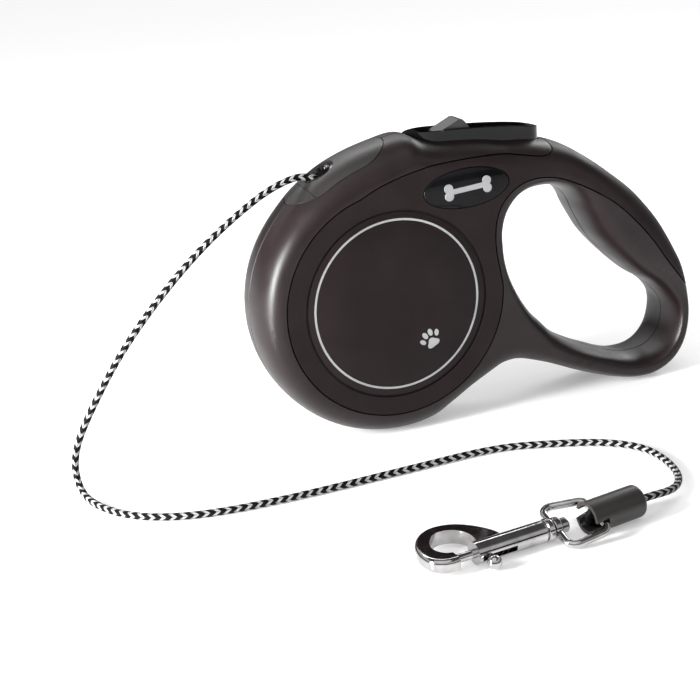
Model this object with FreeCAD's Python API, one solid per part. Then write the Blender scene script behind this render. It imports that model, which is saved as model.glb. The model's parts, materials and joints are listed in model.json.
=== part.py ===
"""Retractable cord leash for a small dog: a 3 m cord on a sprung reel, in a loop-handled housing.

Millimetres, +Z up. The origin is on the ground under the middle of the housing. The housing stands on the
bottom of its drum and of its handle, its left side faces -Y, the cord leaves it towards -X and the handle
is at +X. Housing outlines are written as (u, w): +X and +Z distances from the drum's axis.
"""
import FreeCAD
import Part

import math
import os

V = FreeCAD.Vector

# Housing
AXIS_X = -30.2
AXIS_Z = 39.1
HALF_WIDTH = 13.0
FACE_R = 32.7
RIM_BULGE = 6.9
RIM_R = FACE_R + RIM_BULGE
CAVITY_R = 33.5
CAVITY_HALF = 9.0
COVER_T = 1.8
COVER_SEAT = 2.05
COVER_GAP = 0.25
COVER_R = FACE_R - COVER_GAP
LOOP_ROUND = 3.6
HOLE_ROUND = 2.6

# Label, badge and outlet
LABEL_R = 26.6
LABEL_SEAT_R = 27.2
LABEL_SEAT_Y = 12.45
LABEL_T = 0.4
BADGE_AT = (22.7, 30.1)
BADGE_SEMI = (12.9, 5.5)
BADGE_TILT = 1.5
BADGE_PROUD = 0.9
BADGE_SEAT_Y = 12.0
INSERT_ANGLE = 107.0
INSERT_HALF_LENGTH = 15.9
INSERT_HALF_WIDTH = 9.9
INSERT_T = 2.0
LIP_ANGLE = 121.5
BUSH_AT = (-15.9, 38.0)
BUSH_ANGLE = 115.5

# Axle, reel and clock spring
AXLE_R = 3.0
RUNNING = 0.05
ARBOR_R = 5.0
REEL_HALF = 8.5
FLANGE_R = 29.5
HUB_R = 12.0
WINDING_Y = (-7.5, -0.6)
TOOTH_Y = (-0.6, 1.4)
TOOTH_R = 31.5
TOOTH_ROOT_R = 28.6
TEETH = 16
TOOTH_GAP = 6.6
PAWL_ANGLE = 61.0
CUP_R = 25.0
CUP_WALL = 1.6
REEL_COVER_T = 1.1
WOUND_R = 27.5
SPRING_TURNS = 9
SPRING_T = 0.35

# Brake button, pawl, pin and lock slider
SLOT_HALF = 5.3
BUTTON_HALF = 4.9
BUTTON_FRONT = 9.6
BUTTON_REAR = 51.0
PIVOT = (47.0, 35.6)
PIN_R = 1.5
POCKET_HALF = 3.6
SLIDER_HALF = 3.4
POCKET_SLOPE = 2.4
LEDGE_W = 34.5
BUTTON_SPRING_U = 24.0

# Screws
SCREWS = [(40.0, 30.9), (57.6, 29.8), (92.4, -5.2)]
SCREW_R = 1.1
HEAD_R = 1.9

# Cord and its cap
CORD_D = 2.2
FLOOR = 1.15
CORD_ROUTE = [
    (-43.2, -0.8, 73.4), (-48.7, 0.0, 76.7), (-56.2, 0.0, 76.0), (-66.4, 0.0, 71.4), (-84.5, 0.0, 58.8),
    (-104.2, 0.0, 39.3), (-117.2, 0.0, 20.8), (-123.2, -2.0, 9.5), (-123.4, -9.5, 1.9),
    (-120.2, -21.0, FLOOR), (-112.4, -31.8, FLOOR), (-97.5, -38.6, FLOOR), (-72.0, -39.6, FLOOR),
    (-40.0, -38.8, FLOOR), (-14.0, -37.2, FLOOR), (1.5, -42.8, FLOOR), (14.0, -48.8, FLOOR),
    (21.4, -57.5, FLOOR), (22.0, -68.0, FLOOR), (19.6, -78.3, FLOOR), (13.3, -86.2, 1.9),
    (1.8, -90.65, 4.15), (-9.6, -92.87, 4.15),
]
CAP_AT = (-16.5, -94.2, 4.15)
CAP_DIRECTION = (0.982, 0.19, 0.0)
CAP_R = 4.15
CAP_LENGTH = 16.0
CAP_HOLLOW_R = 3.3
CAP_HOLLOW = 8.0
BAR_DEPTH = 3.2

# Snap: its own X runs along the barrel from the gate to the swivel, and its Z is up
SNAP_AT = (-47.1, -95.7, 3.0)
SNAP_YAW = 7.3
BARREL_R = 2.8
BARREL_LENGTH = 21.8
BOLT_R = 1.1
BOLT_BORE_R = 1.15
BOLT_TRAVEL = 6.5
HOOK_HALF = 1.8
KNOB_OFFSET = 4.9
KNOB_DROP = 12.0
KNOB_R = 1.8
KNOB_S = 2.6
STIRRUP_WIRE_R = 1.0


# ---------------------------------------------------------------- helpers
def save(name, shape, placed=True):
    """Write one named piece; housing pieces move from the drum's axis to the ground frame."""
    shape = shape.copy()
    if placed:
        shape.translate(V(AXIS_X, 0, AXIS_Z))
    if len(shape.Solids) == 1:
        shape = shape.Solids[0]
    shape.exportStep("parts/" + name + ".step")
    return shape


def spline(points, closed=False):
    curve = Part.BSplineCurve()
    curve.interpolate([V(u, 0, w) for u, w in points], PeriodicFlag=closed)
    return curve.toShape()


def polyline(points):
    return [Part.LineSegment(V(a[0], 0, a[1]), V(b[0], 0, b[1])).toShape() for a, b in zip(points, points[1:])]


def prism(wire, y0, y1):
    """A closed wire in the plane y = 0, swept from y0 to y1."""
    face = Part.Face(wire)
    face.translate(V(0, y0, 0))
    return face.extrude(V(0, y1 - y0, 0))


def polygon_prism(points, y0, y1):
    return prism(Part.Wire(polyline(list(points) + [points[0]])), y0, y1)


def shifted(points, distance, closed=False):
    """The points moved to the left of their direction of travel, for a parallel outline."""
    moved = []
    count = len(points)
    for i, (u, w) in enumerate(points):
        before = points[(i - 1) % count] if closed or i else points[i]
        after = points[(i + 1) % count] if closed or i < count - 1 else points[i]
        du, dw = after[0] - before[0], after[1] - before[1]
        length = math.hypot(du, dw)
        moved.append((u - dw / length * distance, w + du / length * distance))
    return moved


def cylinder(radius, y0, y1, at=(0, 0)):
    return Part.makeCylinder(radius, y1 - y0, V(at[0], y0, at[1]), V(0, 1, 0))


def ring(inner, outer, y0, y1, at=(0, 0)):
    return cylinder(outer, y0, y1, at).cut(cylinder(inner, y0 - 1, y1 + 1, at))


def mirrored(shape):
    return shape.mirror(V(0, 0, 0), V(0, 1, 0))


def revolved(profile, axis_point=V(0, 0, 0), axis=V(0, 1, 0)):
    """Turn a closed (radius, y) profile about the drum's axis."""
    points = [V(r, y, 0) for r, y in profile]
    face = Part.Face(Part.makePolygon(points + [points[0]]))
    return face.revolve(axis_point, axis, 360)


def turned(profile):
    """Turn a closed (radius, height) profile about its own +Z."""
    points = [V(r, 0, h) for r, h in profile]
    return Part.Face(Part.makePolygon(points + [points[0]])).revolve(V(0, 0, 0), V(0, 0, 1), 360)


def stand(shape, at, angle):
    """Move a shape made along +Z so that it points out at an angle in the drum's plane."""
    shape = shape.copy()
    way = V(math.cos(math.radians(angle)), 0, math.sin(math.radians(angle)))
    shape.Placement = FreeCAD.Placement(V(at[0], 0, at[1]), FreeCAD.Rotation(V(0, 0, 1), way))
    return shape


def rim_edges(shape, y, longest=8.0):
    """The long edges that lie in one plane y, away from the drum's own rim."""
    found = []
    for edge in shape.Edges:
        box = edge.BoundBox
        if abs(box.YMin - y) < 1e-3 and abs(box.YMax - y) < 1e-3 and edge.Length > longest:
            found.append(edge)
    return found


# ---------------------------------------------------------------- housing
def outer_points():
    """The handle and the top of the housing, clockwise from the drum's upper left to its lower right."""
    return [
        (-31.5, 17.5), (-29.6, 24.2), (-24.4, 31.2), (-16.6, 36.3), (-8.1, 40.3), (1.0, 43.4), (9.3, 44.8), (15.6, 43.0), (23.0, 42.1),
        (30.9, 41.2), (38.6, 39.8), (46.0, 38.3), (52.3, 38.2), (60.6, 34.0), (68.9, 28.9), (76.5, 23.1),
        (83.3, 16.5), (89.4, 9.1), (94.0, 0.9), (97.0, -7.9), (98.4, -16.9), (98.4, -25.6), (96.2, -33.2),
        (90.4, -38.3), (81.5, -39.6), (72.5, -38.7), (62.7, -35.6), (55.8, -32.5), (49.1, -29.3),
        (42.5, -27.0), (35.5, -27.1), (27.0, -31.2), (16.7, -35.9),
        (8.5, -36.9), (1.5, -33.5),
    ]


def hole_points():
    """The finger opening, clockwise from its left side."""
    return [
        (36.3, 8.0), (36.6, 15.6), (39.4, 22.0), (45.4, 26.0), (52.2, 26.0), (58.3, 22.2), (61.9, 15.2),
        (67.2, 7.8), (73.5, 0.9), (80.7, -6.1), (87.6, -12.2), (91.0, -19.8), (89.4, -27.6), (82.6, -31.0),
        (72.6, -30.2), (60.5, -25.8), (50.3, -18.8), (41.8, -7.6),
    ]


def drum_half(inset):
    """The left half of the drum: a flat face and an elliptical rim."""
    depth = HALF_WIDTH - inset
    face_r = FACE_R - inset
    core_r = 25.0
    ellipse = Part.Ellipse(V(face_r, -depth, 0), V(face_r + RIM_BULGE, 0, 0), V(face_r, 0, 0))
    rim = ellipse.toShape(0, math.pi / 2)
    inside = [V(face_r, -depth, 0), V(core_r - 1, -depth, 0), V(core_r - 1, 0, 0), V(face_r + RIM_BULGE, 0, 0)]
    edges = [rim] + [Part.LineSegment(p, q).toShape() for p, q in zip(inside, inside[1:])]
    crown = Part.Face(Part.Wire(Part.__sortEdges__(edges))).revolve(V(0, 0, 0), V(0, 1, 0), 360)
    return crown.fuse(cylinder(core_r, -depth, 0))


def half_body(inset):
    """The left half of the housing's outer form, or of the form a given depth inside it."""
    depth = HALF_WIDTH - inset
    hole = prism(Part.Wire([spline(shifted(hole_points(), inset, True), True)]), -depth - 1, 1)
    drum = drum_half(inset).cut(hole)
    points = shifted(outer_points(), -inset)
    closing = [points[-1], (0.0, -20.0), (-15.0, 10.0), points[0]]
    loop = prism(Part.Wire([spline(points)] + polyline(closing)), -depth, 0)
    if inset == 0:
        loop = loop.makeFillet(LOOP_ROUND, rim_edges(loop, -depth, 60.0)).cut(hole)
        hole_rim = [e for e in rim_edges(loop, -depth, 60.0) if e.BoundBox.XMin > CAVITY_R]
        loop = loop.makeFillet(HOLE_ROUND, hole_rim).Solids[0]
    else:
        loop = loop.cut(hole)
    body = drum.fuse(loop).removeSplitter()
    ground = Part.makeBox(200, 60, 20, V(-60, -30, -AXIS_Z - 20 + inset))
    return body.cut(ground)


def cover_region(grow):
    """Where the side cover lies: the drum's face and the face above the opening, then over the spine."""
    lower = shifted([
        (32.45, 0.4), (31.1, 6.7), (30.6, 12.9), (31.1, 18.7), (32.9, 23.2), (36.2, 26.8), (40.2, 28.8),
        (45.3, 29.5), (51.5, 28.4), (57.5, 26.0), (64.1, 22.4), (70.7, 17.7), (76.7, 11.8), (82.1, 5.4),
        (86.6, -1.2), (92.6, -8.2), (99.4, -14.5), (103.0, -18.0),
    ], -grow)
    upper = shifted([
        (51.2, 37.6), (50.2, 36.2), (47.1, 35.3), (40.7, 36.6), (34.4, 37.7), (25.0, 38.1), (14.2, 37.8),
        (9.5, 37.2), (2.6, 35.9), (-3.7, 33.9), (-8.9, 31.2),
    ], -grow)
    radius = COVER_R + grow
    start = math.atan2(upper[-1][1], upper[-1][0])
    end = math.atan2(lower[0][1], lower[0][0])
    upper[-1] = (radius * math.cos(start), radius * math.sin(start))
    lower[0] = (radius * math.cos(end), radius * math.sin(end))
    middle = (start + end) / 2 + math.pi
    arc = Part.Arc(V(upper[-1][0], 0, upper[-1][1]), V(radius * math.cos(middle), 0, radius * math.sin(middle)),
                   V(lower[0][0], 0, lower[0][1])).toShape()
    outside = polyline([lower[-1], (112.0, -15.0), (112.0, 55.0), (upper[0][0] + 1.0, 55.0), upper[0]])
    return prism(Part.Wire([arc, spline(lower)] + outside + [spline(upper)]), -HALF_WIDTH - 2, 0)


def button_slot(grow, w0, w1):
    """The brake button's outline seen from above, as a prism between two heights."""
    half = BUTTON_HALF + grow
    front = BUTTON_FRONT - 2 * grow
    rear = BUTTON_REAR + grow
    a, b, c, d = V(front, 0, w0), V(18.0, half, w0), V(rear - half, half, w0), V(rear - half, -half, w0)
    e = V(18.0, -half, w0)
    edges = [
        Part.Arc(a, V(front + 3.3, half * 0.66, w0), b).toShape(), Part.LineSegment(b, c).toShape(),
        Part.Arc(c, V(rear, 0, w0), d).toShape(), Part.LineSegment(d, e).toShape(),
        Part.Arc(e, V(front + 3.3, -half * 0.66, w0), a).toShape(),
    ]
    return Part.Face(Part.Wire(edges)).extrude(V(0, 0, w1 - w0))


def brake_bay():
    """The room under the button, open to the reel below its front."""
    return polygon_prism([
        (10.6, 28.5), (10.6, 41.5), (34.0, 40.2), (51.3, 37.0), (51.3, 32.4), (34.5, 32.4), (33.5, LEDGE_W),
        (19.0, LEDGE_W), (18.5, 26.0),
    ], -SLOT_HALF, SLOT_HALF)


def grip_cavity():
    points = [
        (63.0, 25.3), (73.0, 18.8), (80.0, 12.2), (85.6, 5.0), (87.6, -0.5), (86.8, -3.6), (82.5, -3.2),
        (75.4, 3.2), (69.4, 10.2), (64.3, 17.6), (61.8, 22.5),
    ]
    return prism(Part.Wire([spline(points, True)]), -9.0, 9.0)


def insert_prism(grow):
    """A slot-shaped prism standing out of the rim where the outlet insert lies."""
    half = INSERT_HALF_WIDTH + grow
    straight = INSERT_HALF_LENGTH + grow - half
    corners = [V(straight, -half, 0), V(straight, half, 0), V(-straight, half, 0), V(-straight, -half, 0)]
    ends = [V(straight + half, 0, 0), V(-straight - half, 0, 0)]
    edges = [
        Part.Arc(corners[0], ends[0], corners[1]).toShape(), Part.LineSegment(corners[1], corners[2]).toShape(),
        Part.Arc(corners[2], ends[1], corners[3]).toShape(), Part.LineSegment(corners[3], corners[0]).toShape(),
    ]
    slot = Part.Face(Part.Wire(edges)).extrude(V(0, 0, 20))
    return stand(slot, (30 * math.cos(math.radians(INSERT_ANGLE)), 30 * math.sin(math.radians(INSERT_ANGLE))),
                 INSERT_ANGLE)


def cord_path_cuts():
    """The bush's bore through the rim and the channel that the inner cord runs in."""
    bore = stand(Part.makeCylinder(3.95, 12, V(0, 0, -9)), BUSH_AT, BUSH_ANGLE)
    run = Part.makeCylinder(2.0, 14, V(*inner_run_end()), inner_run_way() * -1)
    return bore.fuse(run)


def inner_run_start():
    return V(8.0, -4.6, 27.9)


def inner_run_end():
    return V(-12.6, -1.0, 33.8)


def inner_run_way():
    way = inner_run_end() - inner_run_start()
    return way.normalize()


def left_housing(body, seat):
    shape = body.cut(seat)
    shape = shape.cut(cylinder(CAVITY_R, -CAVITY_HALF, 1))
    shape = shape.cut(brake_bay())
    shape = shape.cut(button_slot(0.4, 33.0, 60.0))
    shape = shape.cut(grip_cavity())
    shape = shape.cut(insert_prism(0.2).cut(half_body(INSERT_T + 0.2)))
    shape = shape.cut(cord_path_cuts())
    shape = shape.cut(cylinder(PIN_R + 0.02, -9.0, 1, PIVOT))
    return shape.cut(cylinder(AXLE_R + 0.02, -HALF_WIDTH, 1))


def housings(body, seat):
    """The two halves: the left one takes the screw threads, the right one the heads."""
    shell = left_housing(body, seat)
    left, right = shell, mirrored(shell)
    for at in SCREWS:
        left = left.cut(cylinder(SCREW_R + 0.02, -8.3, 1, at))
        right = right.cut(cylinder(SCREW_R + 0.15, -1, HALF_WIDTH, at))
        right = right.cut(cylinder(HEAD_R + 0.2, 9.2, HALF_WIDTH, at))
    return left, right


def side_cover(body):
    shape = body.common(cover_region(0)).cut(half_body(COVER_T)).cut(button_slot(0.4, 33.0, 60.0))
    shape = shape.cut(cylinder(LABEL_SEAT_R, -HALF_WIDTH - 1, -LABEL_SEAT_Y))
    return shape.cut(badge_plate(0.2, -HALF_WIDTH - 1, -BADGE_SEAT_Y))


def badge_plate(grow, y0, y1):
    ellipse = Part.Ellipse(V(0, 0, 0), BADGE_SEMI[0] + grow, BADGE_SEMI[1] + grow).toShape()
    face = Part.Face(Part.Wire([ellipse]))
    face.rotate(V(0, 0, 0), V(1, 0, 0), 90)
    face.rotate(V(0, 0, 0), V(0, 1, 0), -BADGE_TILT)
    face.translate(V(BADGE_AT[0], y0, BADGE_AT[1]))
    return face.extrude(V(0, y1 - y0, 0))


def badge():
    front = -HALF_WIDTH - BADGE_PROUD
    plate = badge_plate(0, front, -BADGE_SEAT_Y)
    return plate.makeFillet(0.8, rim_edges(plate, front))


def label_disc():
    return cylinder(LABEL_R, -LABEL_SEAT_Y - LABEL_T, -LABEL_SEAT_Y)


# ---------------------------------------------------------------- outlet
def outlet_pieces(body):
    """The rim insert and its front lip, with the bush's hole through them."""
    half = body.common(insert_prism(0)).cut(half_body(INSERT_T))
    shell = half.fuse(mirrored(half)).removeSplitter()
    hole = Part.makeCylinder(3.95, 12, V(0, 0, -9)).fuse(Part.makeCylinder(4.75, 5, V(0, 0, -1.62)))
    shell = shell.cut(stand(hole, BUSH_AT, BUSH_ANGLE))
    seam = math.radians(LIP_ANGLE)
    wall = Part.makeBox(40, 40, 80, V(0.1, -20, -20))
    wall.rotate(V(0, 0, 0), V(0, 1, 0), -(LIP_ANGLE - 90))
    wall.translate(V(2 * math.cos(seam), 0, 2 * math.sin(seam)))
    front = Part.makeBox(40, 40, 80, V(-40.1, -20, -20))
    front.rotate(V(0, 0, 0), V(0, 1, 0), -(LIP_ANGLE - 90))
    front.translate(V(2 * math.cos(seam), 0, 2 * math.sin(seam)))
    return shell.common(wall), shell.common(front)


def outlet_bush():
    profile = [
        (3.1, -4.8), (3.9, -4.8), (3.9, -1.6), (4.7, -1.2), (4.7, -0.5), (4.3, -0.1), (4.0, 0.0), (3.7, -0.3),
        (3.4, -1.2), (3.1, -2.6),
    ]
    return stand(turned(profile), BUSH_AT, BUSH_ANGLE)


# ---------------------------------------------------------------- axle, reel and clock spring
def axle():
    return cylinder(AXLE_R, -10.9, 10.9)


def spring_arbor():
    sleeve = ring(AXLE_R + 0.02, ARBOR_R, 1.6, 8.9)
    slot = Part.makeBox(3, 5.8, 0.6, V(3.2, 1.5, -0.3))
    return sleeve.cut(slot)


def axle_washers():
    return Part.Compound([ring(AXLE_R + 0.1, 7.0, -8.95, -8.6), ring(ARBOR_R + 0.1, 9.0, 8.6, 8.95)])


def reel():
    bore = AXLE_R + RUNNING
    profile = [
        (bore, -REEL_HALF), (FLANGE_R, -REEL_HALF), (FLANGE_R, WINDING_Y[0]), (HUB_R, WINDING_Y[0]),
        (HUB_R, WINDING_Y[1]), (TOOTH_ROOT_R, TOOTH_Y[0]), (TOOTH_ROOT_R, TOOTH_Y[1]), (CUP_R, TOOTH_Y[1]),
        (CUP_R, REEL_HALF - REEL_COVER_T), (CUP_R - CUP_WALL, REEL_HALF - REEL_COVER_T),
        (CUP_R - CUP_WALL, TOOTH_Y[1]), (bore, TOOTH_Y[1]),
    ]
    shape = revolved(profile).cut(ring(6.0, 10.4, -REEL_HALF - 1, -2.2))
    return shape.fuse(reel_teeth()).removeSplitter()


def reel_teeth():
    """Coarse brake teeth, with a gap in front of the pawl."""
    crown = ring(TOOTH_ROOT_R - 1.0, TOOTH_R, *TOOTH_Y)
    for i in range(TEETH):
        gap = Part.makeBox(6.0, 4.0, TOOTH_GAP, V(TOOTH_ROOT_R, -1.6, -TOOTH_GAP / 2))
        gap.rotate(V(0, 0, 0), V(0, 1, 0), -(PAWL_ANGLE + 360.0 / TEETH * i))
        crown = crown.cut(gap)
    return crown


def reel_cover():
    disc = ring(ARBOR_R + RUNNING, CUP_R, REEL_HALF - REEL_COVER_T, REEL_HALF)
    for i in range(3):
        angle = math.radians(120 * i + 30)
        disc = disc.cut(cylinder(2.2, 0, 20, (16 * math.cos(angle), 16 * math.sin(angle))))
    return disc


def spiral_spring():
    """A flat strip wound from the arbor out to the cup's wall."""
    inner_r, outer_r = ARBOR_R + 0.15, CUP_R - CUP_WALL - 0.2
    steps = SPRING_TURNS * 12
    inside, outside = [], []
    for i in range(steps + 1):
        angle = 2 * math.pi * SPRING_TURNS * i / steps
        radius = inner_r + (outer_r - SPRING_T - inner_r) * i / steps
        inside.append((radius * math.cos(angle), radius * math.sin(angle)))
        outside.append(((radius + SPRING_T) * math.cos(angle), (radius + SPRING_T) * math.sin(angle)))
    caps = polyline([inside[-1], outside[-1]]) + polyline([outside[0], inside[0]])
    return prism(Part.Wire([spline(inside), caps[0], spline(outside[::-1]), caps[1]]), 1.8, 7.2)


def wound_cord():
    """The cord that is still on the reel, as the outer shape of its winding."""
    width = (WINDING_Y[0] + 0.1, WINDING_Y[1] - 0.1)
    return ring(HUB_R + 0.02, WOUND_R, *width)


def inner_cord_run():
    start, way = inner_run_start(), inner_run_way()
    length = (inner_run_end() - start).Length
    return Part.makeCylinder(CORD_D / 2, length, start, way)


# ---------------------------------------------------------------- brake
def brake_button():
    top = [(7.0, 45.5), (14.5, 45.4), (25.0, 44.9), (37.0, 44.0), (46.0, 42.9), (54.0, 41.4)]
    bottom = [(54.0, 35.4), (46.4, 35.9), (30.9, 38.6), (15.6, 39.9), (7.0, 42.8)]
    rear, front = polyline([top[-1], bottom[0]]), polyline([bottom[-1], top[0]])
    side = Part.Wire([spline(top)] + rear + [spline(bottom)] + front)
    shape = button_slot(0, 25.0, 60.0).common(prism(side, -8, 8))
    boss = cylinder(2.6, -BUTTON_HALF, BUTTON_HALF, PIVOT).common(button_slot(0, 25.0, 60.0))
    shape = shape.fuse(boss)
    shape = shape.cut(cylinder(PIN_R + RUNNING, -9, 9, PIVOT))
    rear_w = 43.85 - math.tan(math.radians(POCKET_SLOPE)) * (33.0 - 13.8)
    pocket = [(13.8, 43.85), (13.8, 50.0), (33.0, 50.0), (33.0, rear_w)]
    shape = shape.cut(polygon_prism(pocket, -POCKET_HALF, POCKET_HALF))
    trough = [(32.5, 43.3), (32.5, 50.0), (47.5, 50.0), (47.5, 41.9)]
    shape = shape.cut(polygon_prism(trough, -2.6, 2.6))
    window = Part.makeBox(3.0, 3.6, 20, V(14.4, -1.8, 30))
    return shape.cut(window).cut(brake_pawl_blank())


def brake_pawl_blank():
    outline = [(12.8, 41.2), (14.2, 41.2), (16.2, 39.0), (16.2, 33.0), (15.7, 29.6), (13.3, 29.6), (12.8, 33.0)]
    return polygon_prism(outline, -0.9, 1.7)


def lock_slider():
    """A thumb wedge with a foot that slides in the button's pocket."""
    base_front = 43.85 - math.tan(math.radians(POCKET_SLOPE)) * (18.9 - 13.8) + 0.12
    base_rear = 43.85 - math.tan(math.radians(POCKET_SLOPE)) * (29.3 - 13.8) + 0.12
    outline = [
        (18.9, base_front), (18.9, base_front + 0.7), (24.6, 47.0), (25.6, 47.5), (26.6, 47.4), (27.3, 46.8),
        (29.3, base_rear + 0.8), (29.3, base_rear),
    ]
    wedge = polygon_prism(outline, -SLIDER_HALF, SLIDER_HALF)
    return wedge


def brake_pivot_pin():
    return cylinder(PIN_R, -8.9, 8.9, PIVOT)


def button_spring():
    """A compression spring between the housing's ledge and the underside of the button."""
    height = 3.8
    helix = Part.makeHelix(1.3, height, 1.9)
    section = Part.Wire([Part.makeCircle(0.3, V(1.9, 0, 0), V(0, 1, 0))])
    coil = Part.Wire(helix).makePipeShell([section], True, True)
    coil.translate(V(BUTTON_SPRING_U, 0, LEDGE_W + 0.35))
    return coil


def housing_screws():
    """Pan-head screws with a blind hex socket, from the right side."""
    screws = []
    for at in SCREWS:
        shaft = cylinder(SCREW_R, -8.0, 9.3, at)
        head = cylinder(HEAD_R, 9.2, 10.7, at)
        socket = cylinder(0.8, 9.9, 11.0, at)
        screws.append(shaft.fuse(head).cut(socket))
    return Part.Compound(screws)


# ---------------------------------------------------------------- free cord and cap
def leash_cord():
    """The free cord: straight runs joined by arcs as large as the runs allow."""
    points = [V(*p) for p in CORD_ROUTE]
    edges = []
    last = points[0]
    for before, at, after in zip(points, points[1:], points[2:]):
        a, b = (before - at), (after - at)
        shorter = min(a.Length, b.Length)
        reach = 0.45 * shorter
        half_turn = (math.pi - a.getAngle(b)) / 2
        radius = reach / math.tan(half_turn)
        print("cord arc radius %.1f mm" % radius)
        a.normalize()
        b.normalize()
        start, end = at + a * reach, at + b * reach
        bisector = (a + b).normalize()
        centre = at + bisector * (radius / math.cos(half_turn))
        middle = centre - bisector * radius
        edges.append(Part.LineSegment(last, start).toShape())
        edges.append(Part.Arc(start, middle, end).toShape())
        last = end
    edges.append(Part.LineSegment(last, points[-1]).toShape())
    path = Part.Wire(edges)
    section = Part.Wire([Part.makeCircle(CORD_D / 2, points[0], points[1] - points[0])])
    tube = path.makePipeShell([section], True, False)
    ideal = math.pi * CORD_D ** 2 / 4 * path.Length
    print("cord length %.1f mm, volume %.1f of %.1f mm3" % (path.Length, tube.Volume, ideal))
    return tube


def along_cap(shape):
    """Move a shape made along +X from the cap's mouth to where the cap lies."""
    shape = shape.copy()
    way = V(*CAP_DIRECTION)
    shape.Placement = FreeCAD.Placement(V(*CAP_AT), FreeCAD.Rotation(V(1, 0, 0), way)).multiply(shape.Placement)
    return shape


def cord_cap():
    """A rubber sleeve over the knot, notched at its mouth for the stirrup's bar."""
    body = Part.makeCylinder(CAP_R, CAP_LENGTH, V(0, 0, 0), V(1, 0, 0))
    body = body.makeFillet(0.9, [e for e in body.Edges if e.BoundBox.XMin > CAP_LENGTH - 0.1])
    hollow = Part.makeCylinder(CAP_HOLLOW_R, CAP_HOLLOW + 1, V(-1, 0, 0), V(1, 0, 0))
    bore = Part.makeCylinder(CORD_D / 2 + 0.06, CAP_LENGTH + 2, V(0, 0, 0), V(1, 0, 0))
    return along_cap(body.cut(hollow).cut(bore)).cut(bar_notch())


def bar_notch():
    """The space that the stirrup's far bar needs in the cap, open at the mouth."""
    half = STIRRUP_WIRE_R + 0.35
    slot = Part.makeBox(20, 20, 2 * half, V(-20 + half, -10, -half))
    slot = slot.fuse(Part.makeCylinder(half, 20, V(0, -10, 0), V(0, 1, 0)))
    slot.Placement = FreeCAD.Placement(stirrup_bar_centre(), stirrup_rotation())
    return slot


def cord_loop():
    """The cord's end, looped round the stirrup's bar and held in the cap."""
    loop = Part.makeTorus(2.25, 0.9, V(0, 0, 0), V(0, 1, 0))
    loop.Placement = FreeCAD.Placement(stirrup_bar_centre(), stirrup_rotation())
    return loop


# ---------------------------------------------------------------- snap
def snap_placement():
    return FreeCAD.Placement(V(*SNAP_AT), FreeCAD.Rotation(V(0, 0, 1), SNAP_YAW))


def stirrup_rotation():
    """The stirrup leans on the floor: turned out of the barrel's line, pitched up and rolled."""
    yaw = FreeCAD.Rotation(V(0, 0, 1), SNAP_YAW - 8.0)
    pitch = FreeCAD.Rotation(V(0, 1, 0), -9.0)
    roll = FreeCAD.Rotation(V(1, 0, 0), 13.0)
    return yaw.multiply(pitch).multiply(roll)


def stirrup_bar_centre():
    """Where the stirrup's far bar crosses the cap's axis, just inside its mouth."""
    return V(*CAP_AT) + V(*CAP_DIRECTION) * BAR_DEPTH


def snapped(shape):
    shape = shape.copy()
    shape.Placement = snap_placement().multiply(shape.Placement)
    return shape


def knob_way():
    drop = math.radians(KNOB_DROP)
    return V(0, -math.cos(drop), -math.sin(drop))


def barrel():
    shape = Part.makeCylinder(BARREL_R, 19.0, V(0, 0, 0), V(1, 0, 0))
    neck = Part.makeCylinder(2.2, 1.4, V(18.6, 0, 0), V(1, 0, 0))
    collar = Part.makeCylinder(2.95, 1.9, V(19.7, 0, 0), V(1, 0, 0))
    collar = collar.makeFillet(0.5, [e for e in collar.Edges if e.BoundBox.XLength < 0.01])
    return shape.fuse(neck).fuse(collar)


def hook_blade():
    """The hook's flat loop in the plane of the barrel's axis, with its eye cut through."""
    outline = [
        (9.6, 0.0), (9.3, 4.6), (7.0, 9.6), (2.4, 14.2), (-4.2, 15.2), (-9.8, 11.0), (-12.2, 4.4),
        (-11.2, -0.8), (-7.2, -3.0), (-2.0, -2.2), (5.0, -2.0),
    ]
    eye = [
        (1.9, 1.7), (2.7, 6.2), (0.9, 10.2), (-3.4, 11.5), (-7.0, 8.6), (-8.3, 4.0), (-6.6, 1.0), (-2.6, 0.6),
    ]
    blade = prism(Part.Wire([spline(outline, True)]), -HOOK_HALF, HOOK_HALF)
    blade = blade.makeFillet(1.2, rim_edges(blade, -HOOK_HALF) + rim_edges(blade, HOOK_HALF))
    hole = prism(Part.Wire([spline(eye, True)]), -HOOK_HALF - 1, HOOK_HALF + 1)
    blade = blade.cut(hole)
    blade.rotate(V(0, 0, 0), V(1, 0, 0), -90)
    return blade


def snap_hook():
    """Hook, barrel and collar in one casting, bored for the bolt and slotted for its knob."""
    gate = Part.makeBox(5.6, 6.0, 8.0, V(-5.4, -4.6, -4.0))
    shape = hook_blade().cut(gate).fuse(barrel())
    shape = shape.cut(Part.makeCylinder(BOLT_BORE_R, 24.2, V(-7.2, 0, 0), V(1, 0, 0)))
    slot = Part.makeBox(BOLT_TRAVEL + 3.0, 8.0, 1.5, V(KNOB_S - 1.5 - 0.2, -8.0, -0.75))
    slot.rotate(V(0, 0, 0), V(1, 0, 0), KNOB_DROP)
    shape = shape.cut(slot)
    shape = shape.cut(Part.makeCylinder(1.25, 8, V(17.5, 0, 0), V(1, 0, 0)))
    return snapped(shape.removeSplitter())


def snap_bolt():
    rod = Part.makeCylinder(BOLT_R, 10.6, V(-6.4, 0, 0), V(1, 0, 0))
    stem = Part.makeCylinder(0.6, 3.6, V(KNOB_S, 0, 0), knob_way())
    knob = Part.makeSphere(KNOB_R, V(KNOB_S, 0, 0) + knob_way() * KNOB_OFFSET)
    return snapped(rod.fuse(stem).fuse(knob).removeSplitter())


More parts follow.
